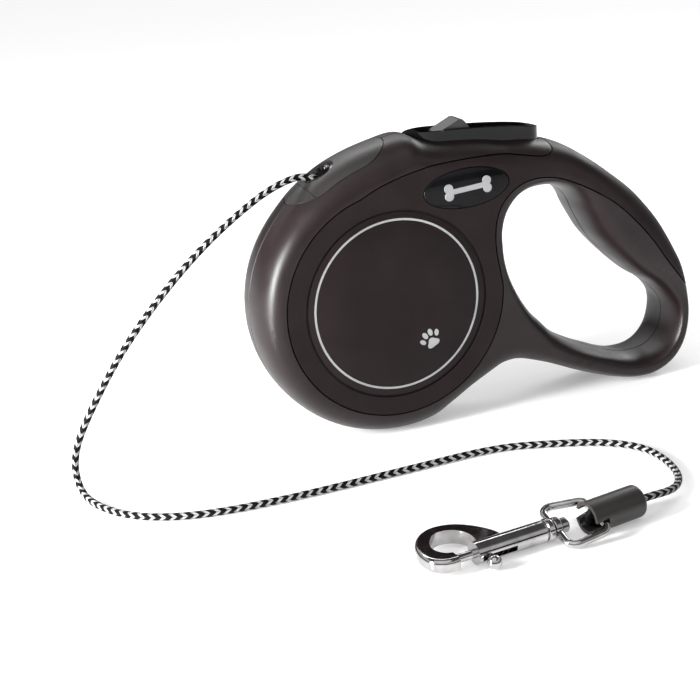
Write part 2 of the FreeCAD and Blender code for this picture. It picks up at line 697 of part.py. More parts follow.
def bolt_spring():
    helix = Part.makeHelix(1.6, 11.0, 0.75)
    section = Part.Wire([Part.makeCircle(0.2, V(0.75, 0, 0), V(0, 1, 0))])
    coil = Part.Wire(helix).makePipeShell([section], True, True)
    coil.rotate(V(0, 0, 0), V(0, 1, 0), 90)
    coil.translate(V(4.9, 0, 0))
    return snapped(coil)


def swivel_rivet():
    """The rivet that holds the stirrup on the end of the barrel."""
    shank = Part.makeCylinder(1.25, 6.6, V(17.6, 0, 0), V(1, 0, 0))
    head = Part.makeCylinder(1.9, 2.0, V(24.2, 0, 0), V(1, 0, 0))
    head = head.makeFillet(0.5, [e for e in head.Edges if e.BoundBox.XMin > 26.1])
    return snapped(shank.fuse(head).removeSplitter())


def tube(points, radius, corner):
    """A round wire along straight runs with rounded corners."""
    edges = []
    last = points[0]
    for before, at, after in zip(points, points[1:], points[2:]):
        a, b = (before - at).normalize(), (after - at).normalize()
        half_turn = (math.pi - a.getAngle(b)) / 2
        reach = corner * math.tan(half_turn)
        start, end = at + a * reach, at + b * reach
        bisector = (a + b).normalize()
        middle = at + bisector * (corner / math.cos(half_turn) - corner)
        edges.append(Part.LineSegment(last, start).toShape())
        edges.append(Part.Arc(start, middle, end).toShape())
        last = end
    edges.append(Part.LineSegment(last, points[-1]).toShape())
    section = Part.Wire([Part.makeCircle(radius, points[0], points[1] - points[0])])
    return Part.Wire(edges).makePipeShell([section], True, False)


def swivel_stirrup():
    """A bent-wire stirrup: its eye turns on the rivet and its far bar sits in the cap."""
    place = snap_placement()
    turn = stirrup_rotation()
    bar = stirrup_bar_centre()
    near = place.multVec(V(22.9, 0, 0))
    base = [near + turn.multVec(V(0, side * 8.0 - 0.0, 0)) for side in (-1, 1)]
    far = [bar + turn.multVec(V(0, side * 6.3, 0)) for side in (-1, 1)]
    middle_far = bar
    wire = tube([middle_far, far[0], base[0], base[1], far[1], middle_far], STIRRUP_WIRE_R, 2.4)
    eye = Part.makeCylinder(2.6, 2.0, V(21.9, 0, 0), V(1, 0, 0))
    eye = eye.makeFillet(0.4, [e for e in eye.Edges if e.BoundBox.XLength < 0.01])
    eye.Placement = place.multiply(eye.Placement)
    bore = Part.makeCylinder(1.3, 6.0, V(20.0, 0, 0), V(1, 0, 0))
    bore.Placement = place.multiply(bore.Placement)
    return wire.fuse(eye).cut(bore).removeSplitter()


# ---------------------------------------------------------------- build
def main():
    os.makedirs("parts", exist_ok=True)
    body = half_body(0)
    seat = cover_region(COVER_GAP).cut(half_body(COVER_SEAT))
    left, right = housings(body, seat)
    cover = side_cover(body)
    insert, lip = outlet_pieces(body)
    made = {
        "left_housing": left, "right_housing": right,
        "left_side_cover": cover, "right_side_cover": mirrored(cover),
        "left_label_disc": label_disc(), "right_label_disc": mirrored(label_disc()),
        "left_badge": badge(), "right_badge": mirrored(badge()),
        "outlet_insert": insert, "outlet_lip": lip, "outlet_bush": outlet_bush(),
        "axle": axle(), "spring_arbor": spring_arbor(), "axle_washers": axle_washers(),
        "reel": reel(), "reel_cover": reel_cover(), "spiral_spring": spiral_spring(),
        "wound_cord": wound_cord(), "inner_cord_run": inner_cord_run(),
        "brake_button": brake_button(), "brake_pawl": brake_pawl_blank(), "lock_slider": lock_slider(),
        "brake_pivot_pin": brake_pivot_pin(), "button_spring": button_spring(),
        "housing_screws": housing_screws(),
    }
    on_floor = {
        "leash_cord": leash_cord(), "cord_cap": cord_cap(), "cord_loop": cord_loop(),
        "swivel_stirrup": swivel_stirrup(), "snap_hook": snap_hook(), "swivel_rivet": swivel_rivet(),
        "snap_bolt": snap_bolt(), "bolt_spring": bolt_spring(),
    }
    for name, shape in made.items():
        report(name, save(name, shape))
    for name, shape in on_floor.items():
        report(name, save(name, shape, placed=False))


def report(name, shape):
    box = shape.BoundBox
    print("%-18s valid %s solids %d volume %9.1f  x %.1f..%.1f y %.1f..%.1f z %.1f..%.1f" % (
        name, shape.isValid(), len(shape.Solids), shape.Volume,
        box.XMin, box.XMax, box.YMin, box.YMax, box.ZMin, box.ZMax))


main()
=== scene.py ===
"""Retractable cord leash on a pale floor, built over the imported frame. Metres, +Z up."""
import json
import math

import bmesh
import bpy
from mathutils import Matrix, Vector
from mathutils.geometry import delaunay_2d_cdt

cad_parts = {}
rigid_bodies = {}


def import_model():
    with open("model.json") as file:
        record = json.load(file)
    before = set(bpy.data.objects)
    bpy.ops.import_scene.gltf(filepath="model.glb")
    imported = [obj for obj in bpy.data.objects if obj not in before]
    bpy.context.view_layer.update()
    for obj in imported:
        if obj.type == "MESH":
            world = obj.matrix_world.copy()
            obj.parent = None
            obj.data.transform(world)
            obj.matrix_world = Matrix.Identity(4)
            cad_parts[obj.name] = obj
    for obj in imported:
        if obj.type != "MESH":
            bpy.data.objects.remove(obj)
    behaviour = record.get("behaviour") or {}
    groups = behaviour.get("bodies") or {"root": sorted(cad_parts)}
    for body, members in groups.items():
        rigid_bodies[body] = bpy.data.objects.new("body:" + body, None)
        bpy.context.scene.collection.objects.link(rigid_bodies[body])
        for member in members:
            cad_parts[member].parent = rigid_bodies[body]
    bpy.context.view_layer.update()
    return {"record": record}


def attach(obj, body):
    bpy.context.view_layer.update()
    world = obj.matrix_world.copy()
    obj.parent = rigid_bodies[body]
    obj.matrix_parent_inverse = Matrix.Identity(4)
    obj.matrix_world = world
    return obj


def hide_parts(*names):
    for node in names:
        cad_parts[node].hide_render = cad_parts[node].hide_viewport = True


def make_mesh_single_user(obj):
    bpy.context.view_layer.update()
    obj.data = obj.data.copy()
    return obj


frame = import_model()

MM = 0.001
AXIS = Vector((-0.0302, 0.0, 0.0391))   # the drum's axis at the mid-plane
scene = bpy.context.scene


# ---------------------------------------------------------------- camera
EYE_AT = (-0.17243, -0.38392, 0.16363)
EYE_TURN = (-18.9, 19.0, -4.55)         # azimuth, elevation and roll in degrees
LENS = 76.474


def camera():
    azimuth, elevation, roll = (math.radians(a) for a in EYE_TURN)
    back = Vector((math.sin(azimuth) * math.cos(elevation),
                   -math.cos(azimuth) * math.cos(elevation), math.sin(elevation)))
    right = Vector((math.cos(azimuth), math.sin(azimuth), 0.0))
    up = back.cross(right)
    right, up = (right * math.cos(roll) + up * math.sin(roll),
                 up * math.cos(roll) - right * math.sin(roll))
    data = bpy.data.cameras.new("camera")
    data.lens = LENS
    data.sensor_width = 36.0
    data.clip_start = 0.01
    data.clip_end = 20.0
    eye = bpy.data.objects.new("camera", data)
    scene.collection.objects.link(eye)
    eye.matrix_world = Matrix((
        (right.x, up.x, back.x, EYE_AT[0]), (right.y, up.y, back.y, EYE_AT[1]),
        (right.z, up.z, back.z, EYE_AT[2]), (0, 0, 0, 1)))
    scene.camera = eye


camera()


# ---------------------------------------------------------------- materials
MIX_FACTOR, MIX_A, MIX_B, MIX_RESULT = 0, 6, 7, 2    # a colour mix node's sockets


def nodes_of(name, base, roughness, metallic=0.0):
    material = bpy.data.materials.new(name)
    material.use_nodes = True
    tree = material.node_tree
    shader = tree.nodes["Principled BSDF"]
    shader.inputs["Base Color"].default_value = (*base, 1.0)
    shader.inputs["Roughness"].default_value = roughness
    shader.inputs["Metallic"].default_value = metallic
    return material, tree, shader


def node(tree, kind, **values):
    made = tree.nodes.new(kind)
    for key, value in values.items():
        if key in made.inputs:
            made.inputs[key].default_value = value
        else:
            setattr(made, key, value)
    return made


def place(tree):
    """Object coordinates, in metres."""
    return tree.nodes.new("ShaderNodeTexCoord").outputs["Object"]


def noise(tree, scale, detail=3.0, rough=0.5):
    made = node(tree, "ShaderNodeTexNoise", Scale=scale, Detail=detail, Roughness=rough)
    tree.links.new(place(tree), made.inputs["Vector"])
    return made.outputs["Fac"]


def ranged(tree, value, low, high, start=0.3, end=0.7):
    """Low where the value is at its start, high where it is at its end."""
    made = node(tree, "ShaderNodeMapRange")
    for name, number in (("From Min", start), ("From Max", end),
                         ("To Min", low), ("To Max", high)):
        made.inputs[name].default_value = number
    tree.links.new(value, made.inputs["Value"])
    return made.outputs["Result"]


def bumped(tree, shader, height, strength, distance):
    made = node(tree, "ShaderNodeBump", Strength=strength, Distance=distance)
    tree.links.new(height, made.inputs["Height"])
    tree.links.new(made.outputs["Normal"], shader.inputs["Normal"])


def mixed(tree, factor, dark, light):
    made = node(tree, "ShaderNodeMix", data_type="RGBA")
    made.inputs[MIX_A].default_value = (*dark, 1.0)
    made.inputs[MIX_B].default_value = (*light, 1.0)
    tree.links.new(factor, made.inputs[MIX_FACTOR])
    return made.outputs[MIX_RESULT]


def tinted(tree, shader, factor, dark, light):
    tree.links.new(mixed(tree, factor, dark, light), shader.inputs["Base Color"])


def grained(name, dark, light, roughness, grain=2600.0, strength=0.3, depth=0.00006):
    """Moulded plastic: a fine spark-eroded grain, with slow changes of tone and gloss."""
    material, tree, shader = nodes_of(name, light, roughness[0])
    tinted(tree, shader, ranged(tree, noise(tree, 90.0, 4.0), 0.0, 1.0), dark, light)
    tree.links.new(ranged(tree, noise(tree, 140.0, 2.0), *roughness), shader.inputs["Roughness"])
    bumped(tree, shader, noise(tree, grain, 2.0, 0.6), strength, depth)
    return material


def polished(name, dark, light, roughness, coat=0.0):
    """Polished plastic: nearly even, with faint flow waves."""
    material, tree, shader = nodes_of(name, light, roughness[0])
    tinted(tree, shader, ranged(tree, noise(tree, 120.0, 2.0), 0.0, 1.0), dark, light)
    tree.links.new(ranged(tree, noise(tree, 300.0, 3.0), *roughness), shader.inputs["Roughness"])
    bumped(tree, shader, noise(tree, 160.0, 1.0), 0.04, 0.0001)
    shader.inputs["Coat Weight"].default_value = coat
    shader.inputs["Coat Roughness"].default_value = 0.04
    return material


def plated(name, dark, light, roughness, wave=0.05, scale=350.0):
    """Cast or turned metal with a plated surface."""
    material, tree, shader = nodes_of(name, light, roughness[0], 1.0)
    tinted(tree, shader, ranged(tree, noise(tree, 200.0, 3.0), 0.0, 1.0), dark, light)
    tree.links.new(ranged(tree, noise(tree, 900.0, 4.0), *roughness), shader.inputs["Roughness"])
    bumped(tree, shader, noise(tree, scale, 2.0), wave, 0.00015)
    return material


# Dark colour, light colour, range of roughness, then the grain's scale and strength, the coat's
# weight or the wave's height
SHELL = grained("shell_plastic", (0.0096, 0.0050, 0.0056), (0.0136, 0.0076, 0.0084),
                (0.34, 0.42))
COVER = grained("cover_plastic", (0.0098, 0.0050, 0.0057), (0.0140, 0.0078, 0.0086),
                (0.44, 0.54))
LABEL = grained("label_print", (0.0088, 0.0046, 0.0052), (0.0126, 0.0070, 0.0078),
                (0.42, 0.50), 3400.0, 0.2)
INSERT = grained("insert_plastic", (0.0140, 0.0118, 0.0118), (0.0210, 0.0180, 0.0180),
                 (0.36, 0.44), 2800.0, 0.12)
BADGE = polished("badge_gloss", (0.004, 0.004, 0.0045), (0.007, 0.007, 0.008), (0.05, 0.08), 0.1)
BUSH = polished("bush_gloss", (0.004, 0.004, 0.004), (0.006, 0.006, 0.006), (0.08, 0.13), 0.5)
BUTTON = polished("button_gloss", (0.004, 0.004, 0.0045), (0.007, 0.007, 0.008), (0.08, 0.12))
SLIDER = grained("slider_satin", (0.008, 0.008, 0.009), (0.014, 0.014, 0.015),
                 (0.26, 0.34), 2200.0, 0.08)
REEL = polished("reel_plastic", (0.50, 0.50, 0.47), (0.60, 0.60, 0.57), (0.3, 0.4))
STEEL = plated("steel", (0.45, 0.46, 0.47), (0.62, 0.63, 0.64), (0.22, 0.34))
SPRING = plated("spring_steel", (0.24, 0.25, 0.28), (0.36, 0.37, 0.40), (0.25, 0.4))
CHROME = plated("chrome", (0.36, 0.35, 0.35), (0.58, 0.57, 0.57), (0.07, 0.16), 0.22)
RUBBER = grained("cap_rubber", (0.012, 0.010, 0.009), (0.022, 0.018, 0.016),
                 (0.36, 0.48), 1800.0, 0.2)
SILVER = grained("silver_print", (0.30, 0.30, 0.31), (0.42, 0.42, 0.43),
                 (0.3, 0.4), 3000.0, 0.1)
SPECULAR = ((SHELL, 0.36), (COVER, 0.20), (LABEL, 0.20), (INSERT, 0.50), (BADGE, 0.10),
            (BUTTON, 0.30), (SLIDER, 0.75), (RUBBER, 0.6))
for material, level in SPECULAR:
    material.node_tree.nodes["Principled BSDF"].inputs["Specular IOR Level"].default_value = level


CORD_PITCH = 0.0028     # metres of cord to one dark and one light arrowhead
CORD_TWIST = 0.30       # metres of cord to one turn of the whole pattern
CORD_FOLDS = 6          # edges of the arrowheads round the cord
CORD_SLANT = 0.5        # how far an arrowhead's edge runs back, in pitches
CORD_STRANDS = 4        # strands that show in one pitch
CORD_DARK = 0.60        # the dark strands' share of a pitch


def braid(name):
    """A round braid of dark and light strands that meet in arrowheads along the cord."""
    material, tree, shader = nodes_of(name, (0.3, 0.3, 0.3), 0.6)
    split = tree.nodes.new("ShaderNodeSeparateXYZ")
    uv = tree.nodes.new("ShaderNodeUVMap")
    tree.links.new(uv.outputs["UV"], split.inputs["Vector"])

    def math_node(operation, a, b=None):
        made = node(tree, "ShaderNodeMath", operation=operation)
        for socket, value in zip(made.inputs, (a, b)):
            if value is None:
                continue
            if isinstance(value, (int, float)):
                socket.default_value = value
            else:
                tree.links.new(value, socket)
        return made.outputs[0]

    around, along = split.outputs["X"], split.outputs["Y"]
    turn = math_node("ADD", around, math_node("MULTIPLY", along, 1.0 / CORD_TWIST))
    fold = math_node("PINGPONG", math_node("MULTIPLY", turn, CORD_FOLDS), 1.0)
    phase = math_node("ADD", math_node("MULTIPLY", along, 1.0 / CORD_PITCH),
                      math_node("MULTIPLY", fold, -CORD_SLANT))
    light = math_node("GREATER_THAN", math_node("FRACT", phase), CORD_DARK)

    def crown(value):
        """0 at a strand's edges and 1 in its middle."""
        centred = math_node("SUBTRACT", math_node("FRACT", value), 0.5)
        squared = math_node("MULTIPLY", centred, centred)
        return math_node("SUBTRACT", 1.0, math_node("MULTIPLY", squared, 4.0))

    strands = math_node("MULTIPLY", phase, CORD_STRANDS)
    height = math_node("MULTIPLY", crown(strands), crown(fold))
    fibre = noise(tree, 6000.0, 3.0)
    rough_height = math_node("ADD", height, math_node("MULTIPLY", fibre, 0.3))
    bumped(tree, shader, rough_height, 0.7, 0.0001)
    strand = mixed(tree, light, (0.003, 0.003, 0.0035), (0.46, 0.46, 0.455))
    # Painted shade: each strand's colour is multiplied down to a quarter towards its edges, where
    # the strands dip under one another
    shade = node(tree, "ShaderNodeMix", data_type="RGBA", blend_type="MULTIPLY")
    shade.inputs[MIX_FACTOR].default_value = 1.0
    tree.links.new(strand, shade.inputs[MIX_A])
    tone = node(tree, "ShaderNodeCombineColor")
    shadow = ranged(tree, height, 0.25, 1.0, 0.0, 0.45)
    for channel in ("Red", "Green", "Blue"):
        tree.links.new(shadow, tone.inputs[channel])
    tree.links.new(tone.outputs[0], shade.inputs[MIX_B])
    tree.links.new(shade.outputs[MIX_RESULT], shader.inputs["Base Color"])
    shader.inputs["Specular IOR Level"].default_value = 0.12
    return material


BRAID = braid("cord_braid")


# ---------------------------------------------------------------- helpers
def linked(name, data, body, slot, material, *replaced):
    """A piece on a body, with its material, hiding the CAD nodes that it stands for. The slot
    argument is not used.
    """
    made = bpy.data.objects.new(name, data)
    scene.collection.objects.link(made)
    data.materials.append(material)
    if body:
        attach(made, body)
    if replaced:
        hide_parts(*replaced)
    return made


def mesh_of(name, verts, faces, smooth=True):
    data = bpy.data.meshes.new(name)
    data.from_pydata([tuple(v) for v in verts], [], faces)
    data.validate()
    for polygon in data.polygons:
        polygon.use_smooth = smooth
    return data


def face_point(u, w, y):
    """A point from millimetres back from, above and beside the drum's axis."""
    return AXIS + Vector((u * MM, y * MM, w * MM))


def lofted(rings):
    """Quads between rings of equally many points, with a face over each end."""
    count = len(rings[0])
    verts = [p for ring in rings for p in ring]
    faces = []
    for i in range(len(rings) - 1):
        for j in range(count):
            k = (j + 1) % count
            faces.append((i * count + j, i * count + k,
                          (i + 1) * count + k, (i + 1) * count + j))
    faces.append(tuple(range(count))[::-1])
    faces.append(tuple(range((len(rings) - 1) * count, len(rings) * count)))
    return verts, faces


def spline_points(curve_object):
    line = bpy.data.meshes.new_from_object(curve_object)
    points = [v.co.copy() for v in line.vertices]
    bpy.data.meshes.remove(line)
    return points


def resampled(points, step):
    out, carried = [points[0].copy()], 0.0
    for a, b in zip(points, points[1:]):
        length = (b - a).length
        at = step - carried
        while at <= length:
            out.append(a.lerp(b, at / length))
            at += step
        carried = length - (at - step)
    if (out[-1] - points[-1]).length < step * 0.4:
        out[-1] = points[-1].copy()
    else:
        out.append(points[-1].copy())
    return out


def frames_along(points):
    """Directions across a line that don't twist round it."""
    side = Vector((0, 0, 1))
    found = []
    for i, p in enumerate(points):
        way = (points[min(i + 1, len(points) - 1)] - points[max(i - 1, 0)]).normalized()
        side = (side - way * side.dot(way)).normalized()
        found.append((p, way, side.copy(), way.cross(side)))
    return found


# ---------------------------------------------------------------- free cord
FLOOR_Z = 1.15      # the cord's middle where it lies on the floor, in millimetres
ROUTE = [
    (-43.2, -0.8, 73.4), (-48.7, 0.0, 76.7), (-56.2, 0.0, 76.0), (-66.4, 0.0, 71.4),
    (-84.5, 0.0, 58.8), (-104.2, 0.0, 39.3), (-117.6, 0.0, 20.4), (-124.0, -2.0, 9.3),
    (-124.4, -9.5, 1.9), (-121.2, -21.2, FLOOR_Z), (-113.0, -32.4, FLOOR_Z),
    (-97.5, -39.4, FLOOR_Z), (-72.0, -40.4, FLOOR_Z), (-40.0, -38.8, FLOOR_Z),
    (-14.0, -37.2, FLOOR_Z), (1.5, -42.8, FLOOR_Z), (14.0, -48.8, FLOOR_Z),
    (21.4, -57.5, FLOOR_Z), (22.0, -68.0, FLOOR_Z), (19.6, -78.3, FLOOR_Z), (13.3, -86.2, 1.9),
    (1.8, -90.65, 4.15), (-9.6, -92.87, 4.15),
]
CORD_D = 0.0020
STRAND_RISE = 0.08      # the part of the radius that is strand
BRAID_STEP = 0.0002


def route_curve():
    data = bpy.data.curves.new("route", "CURVE")
    data.dimensions = "3D"
    spline = data.splines.new("NURBS")
    spline.points.add(len(ROUTE) - 1)
    for point, (x, y, z) in zip(spline.points, ROUTE):
        point.co = (x * MM, y * MM, z * MM, 1.0)
    spline.order_u = 3
    spline.use_endpoint_u = True
    spline.resolution_u = 24
    made = bpy.data.objects.new("route", data)
    scene.collection.objects.link(made)
    return made


def braided_tube(points, radius, step, sides=36):
    """A tube with the braid's strands raised on it, and its length and turn as its UV map."""
    line = frames_along(resampled(points, step))
    rings, lengths, run = [], [], 0.0
    for i, (p, way, side, other) in enumerate(line):
        if i:
            run += (p - line[i - 1][0]).length
        lengths.append(run)
        ring = []
        for j in range(sides):
            turn = j / sides
            fold = abs((CORD_FOLDS * (turn + run / CORD_TWIST) + 1) % 2 - 1)
            strand = CORD_STRANDS * (run / CORD_PITCH - CORD_SLANT * fold) % 1
            raised = (1 - (2 * strand - 1) ** 2) * (1 - (2 * fold - 1) ** 2)
            angle = 2 * math.pi * turn
            out = radius * (1 - STRAND_RISE + STRAND_RISE * raised)
            ring.append(p + (side * math.cos(angle) + other * math.sin(angle)) * out)
        rings.append(ring)
    verts, faces = lofted(rings)
    data = mesh_of("cord", verts, faces)
    uv = data.uv_layers.new(name="UVMap")
    for polygon in data.polygons:
        around = [data.loops[k].vertex_index % sides for k in polygon.loop_indices]
        wraps = max(around) - min(around) > 2 and len(around) == 4
        for k in polygon.loop_indices:
            vertex = data.loops[k].vertex_index
            turn = vertex % sides
            if wraps and turn == 0:
                turn = sides
            uv.data[k].uv = (turn / sides, lengths[vertex // sides])
    return data


route = route_curve()
cord_line = spline_points(route)
bpy.data.objects.remove(route)
cord = linked("free_cord", braided_tube(cord_line, CORD_D / 2, BRAID_STEP), "housing",
              "cord_braid", BRAID, "leash_cord")


# ---------------------------------------------------------------- label discs and badges
# Lengths in millimetres. Side is 1 on the left and -1 on the right.
LABEL_R, LABEL_BACK, LABEL_FACE, LABEL_RIM = 26.55, -12.46, -12.85, 0.12
PRINT_BACK, PRINT_FACE = -12.80, -12.88
RING_R, RING_HALF = 24.4, 0.3
PAW_AT, PAW_SCALE, PAW_TURN = (9.6, -12.4), 1.25, 0.5
BADGE_AT, BADGE_TILT, BADGE_SEMI = (22.7, 30.1), math.radians(1.5), (12.9, 5.5)
BADGE_BACK, BADGE_EDGE, BADGE_RIM, BADGE_RISE = -12.05, -12.9, -13.15, 0.85
BONE_LENGTH, BONE_KNOB, BONE_TURN = 11.6, 1.3, 0.05
BONE_BACK, BONE_FACE = -13.7, -14.09


def label_mesh(side, sides=160):
    """A disc with a rounded rim."""
    rings = []
    for r, y in ((LABEL_R, LABEL_BACK), (LABEL_R, LABEL_FACE + LABEL_RIM),
                 (LABEL_R - LABEL_RIM * 0.3, LABEL_FACE + LABEL_RIM * 0.3),
                 (LABEL_R - LABEL_RIM, LABEL_FACE), (LABEL_R * 0.5, LABEL_FACE)):
        rings.append([face_point(r * math.cos(2 * math.pi * j / sides),
                                 r * math.sin(2 * math.pi * j / sides), y * side)
                      for j in range(sides)])
    return lofted(rings)


def ring_print(side, sides=220):
    """A plain closed silver ring of one width."""
    section = ((RING_R - RING_HALF, PRINT_BACK), (RING_R + RING_HALF, PRINT_BACK),
               (RING_R + RING_HALF, PRINT_FACE), (RING_R - RING_HALF, PRINT_FACE))
    verts, faces = [], []
    for i in range(sides):
        angle = -side * 2 * math.pi * i / sides
        verts += [face_point(r * math.cos(angle), r * math.sin(angle), y * side)
                  for r, y in section]
        k = (i + 1) % sides
        faces += [(4 * i + a, 4 * i + b, 4 * k + b, 4 * k + a)
                  for a, b in ((0, 1), (1, 2), (2, 3), (3, 0))]
    return verts, faces


def ellipse(centre, semi, tilt, count):
    points = []
    for j in range(count):
        a = 2 * math.pi * j / count
        x, y = semi[0] * math.cos(a), semi[1] * math.sin(a)
        points.append((centre[0] + x * math.cos(tilt) - y * math.sin(tilt),
                       centre[1] + x * math.sin(tilt) + y * math.cos(tilt)))
    return points


def pad_outline(scale, count=40):
    """The paw's main pad: a rounded triangle."""
    points = []
    for j in range(count):
        a = 2 * math.pi * j / count
        r = 1.0 + 0.16 * math.cos(3 * (a - math.pi / 2)) - 0.10 * math.sin(a)
        points.append((1.42 * scale * r * math.cos(a),
                       1.12 * scale * r * math.sin(a) - 0.5 * scale))
    return points


def paw_shapes(scale):
    shapes = [pad_outline(scale)]
    for x, y, rx, ry, tilt in ((-1.95, 0.95, 0.52, 0.8, 0.5), (-0.72, 1.95, 0.56, 0.88, 0.15),
                               (0.72, 1.95, 0.56, 0.88, -0.15), (1.95, 0.95, 0.52, 0.8, -0.5)):
        shapes.append(ellipse((x * scale, y * scale), (rx * scale, ry * scale), tilt, 28))
    return shapes


def bone_shape(length, knob, count=14):
    """A plain bone outline, from two round knobs at each end and a straight shaft."""
    points = []
    for sx, sy, start in ((1, 1, -50), (-1, 1, -15), (-1, -1, 130), (1, -1, 165)):
        for j in range(count + 1):
            a = math.radians(start + 245 * j / count)
            points.append((sx * length / 2 + knob * math.cos(a),
                           sy * knob * 0.82 + knob * math.sin(a)))
    return points


def raised_shapes(name, shapes, centre, turn, y0, y1):
    """Flat shapes that stand out from y0 to y1."""
    verts, faces = [], []
    for shape in shapes:
        base = len(verts)
        for y in (y0, y1):
            for x, z in shape:
                u = centre[0] + x * math.cos(turn) - z * math.sin(turn)
                w = centre[1] + x * math.sin(turn) + z * math.cos(turn)
                verts.append(face_point(u, w, y))
        count = len(shape)
        for j in range(count):
            k = (j + 1) % count
            faces.append((base + j, base + k, base + count + k, base + count + j))
        faces.append(tuple(base + count + j for j in range(count)))
        faces.append(tuple(base + j for j in range(count))[::-1])
    return mesh_of(name, verts, faces, smooth=False)


def dome_height(x, z):
    """The badge's front, from the distance across its ellipse."""
    q = min(1.0, math.hypot(x / BADGE_SEMI[0], z / BADGE_SEMI[1]))
    return BADGE_RIM - BADGE_RISE * (1 - q ** 2.4)


def badge_mesh(side, sides=96):
    levels = [(1.0, BADGE_BACK), (1.0, BADGE_EDGE)]
    levels += [(1.0 - 0.012 * k, None) for k in range(1, 4)]
    levels += [(0.95 - 0.95 * (k / 14.0), None) for k in range(1, 14)]
    rings = []
    for q, y in levels:
        ring = []
        for j in range(sides):
            a = 2 * math.pi * j / sides
            x, z = BADGE_SEMI[0] * q * math.cos(a), BADGE_SEMI[1] * q * math.sin(a)
            u = BADGE_AT[0] + x * math.cos(BADGE_TILT) - z * math.sin(BADGE_TILT)
            w = BADGE_AT[1] + x * math.sin(BADGE_TILT) + z * math.cos(BADGE_TILT)
            ring.append(face_point(u, w, (dome_height(x, z) if y is None else y) * side))
        rings.append(ring)
    return lofted(rings)


for side, name in ((1, "left"), (-1, "right")):
    linked(name + "_label", mesh_of(name + "_label", *label_mesh(side)), "housing",
           "label_print", LABEL, name + "_label_disc")
    linked(name + "_label_ring",
           mesh_of(name + "_label_ring", *ring_print(side), smooth=False),
           "housing", "label_print", SILVER)
    linked(name + "_label_paw",
           raised_shapes(name + "_label_paw", paw_shapes(PAW_SCALE), PAW_AT, PAW_TURN,
                         PRINT_BACK * side, PRINT_FACE * side),
           "housing", "label_print", SILVER)
    linked(name + "_badge_mark",
           raised_shapes(name + "_badge_mark", [bone_shape(BONE_LENGTH, BONE_KNOB)], BADGE_AT,
                         BADGE_TILT + BONE_TURN, BONE_BACK * side, BONE_FACE * side),
           "housing", "badge_gloss", SILVER)
    linked(name + "_dome", mesh_of(name + "_dome", *badge_mesh(side)), "housing",
           "badge_gloss", BADGE, name + "_badge")

# ---------------------------------------------------------------- housing halves and side covers
# Each outline point is (u, w, how far the rounding reaches in) in millimetres from the drum's
# axis.
DRUM_R, DRUM_ROUND = 39.6, 6.9
DRUM = [(DRUM_R * math.cos(math.radians(a)), DRUM_R * math.sin(math.radians(a)), DRUM_ROUND)
        for a in range(-74, -222, -12)]
LOOP = [
    (-25.2, 31.3, 8.0), (-20.4, 35.4, 9.0), (-14.1, 39.4, 9.8), (-6.6, 42.4, 10.0),
    (1.1, 44.4, 9.6), (8.1, 45.5, 8.6), (13.0, 43.9, 7.4), (18.0, 42.8, 6.8),
    (24.0, 42.3, 6.6), (31.0, 41.6, 6.8), (38.6, 40.3, 7.2), (46.6, 39.4, 7.6),
    (55.9, 37.0, 8.6), (64.0, 32.2, 8.8), (72.0, 26.2, 8.8), (80.0, 19.3, 8.6),
    (87.6, 9.9, 8.0), (92.9, -0.2, 7.0), (95.4, -7.3, 6.0), (96.8, -13.9, 5.0),
    (97.0, -20.0, 4.7), (96.3, -25.8, 4.5), (94.3, -31.3, 4.4), (90.4, -35.9, 4.3),
    (84.0, -38.9, 4.0), (77.0, -39.0, 4.0), (69.8, -37.3, 4.3), (62.7, -34.8, 4.8),
    (55.8, -31.9, 5.2), (49.0, -28.9, 5.6), (43.0, -26.8, 6.0), (38.3, -25.7, 6.2),
    (33.5, -26.1, 6.4), (29.0, -28.2, 6.6), (23.3, -31.2, 6.8), (17.0, -34.9, 6.9),
]
HOLE = [
    (35.3, 10.8, 3.6), (35.5, 15.8, 3.8), (37.3, 20.4, 4.2), (40.9, 23.9, 4.6),
    (45.6, 25.3, 5.0), (51.4, 25.1, 5.0), (56.6, 23.1, 5.0), (59.9, 19.6, 5.2),
    (61.7, 15.5, 5.6), (63.8, 11.5, 6.0), (66.2, 7.4, 6.2), (69.3, 3.6, 6.2),
    (72.7, 0.0, 6.0), (76.3, -3.5, 5.6), (80.2, -6.9, 5.0), (84.6, -9.9, 4.4),
    (88.7, -13.7, 3.8), (91.6, -18.0, 3.4), (91.9, -22.9, 3.3), (90.0, -28.1, 3.2),
    (85.4, -31.7, 3.1), (78.4, -32.3, 3.1), (73.0, -31.0, 3.2), (67.9, -28.9, 3.4),
    (63.3, -26.9, 3.8), (58.9, -24.6, 4.2), (54.6, -21.9, 4.4), (50.7, -18.8, 4.4),
    (47.2, -15.0, 4.2), (43.8, -11.2, 4.0), (41.0, -7.1, 3.8), (38.7, -2.8, 3.6),
    (36.8, 1.8, 3.5), (35.7, 6.3, 3.5),
]


def through(four, t):
    """The point at t between the second and the third of four on a smooth curve."""
    return tuple(0.5 * (2 * b + (c - a) * t + (2 * a - 5 * b + 4 * c - d) * t ** 2
                        + (3 * b - a - 3 * c + d) * t ** 3) for a, b, c, d in zip(*four))


def closed_curve(points, count):
    """A closed curve through the points, resampled evenly."""
    n, fine = len(points), []
    for i in range(n):
        four = [points[(i + k) % n] for k in (-1, 0, 1, 2)]
        fine += [through(four, j / 24) for j in range(24)]
    lengths = [0.0]
    for a, b in zip(fine, fine[1:] + fine[:1]):
        lengths.append(lengths[-1] + math.hypot(b[0] - a[0], b[1] - a[1]))
    out, k = [], 0
    for i in range(count):
        at = lengths[-1] * i / count
        while lengths[k + 1] < at:
            k += 1
        t = (at - lengths[k]) / (lengths[k + 1] - lengths[k])
        a, b = fine[k], fine[(k + 1) % len(fine)]
        out.append(tuple(x + (y - x) * t for x, y in zip(a, b)))
    return out


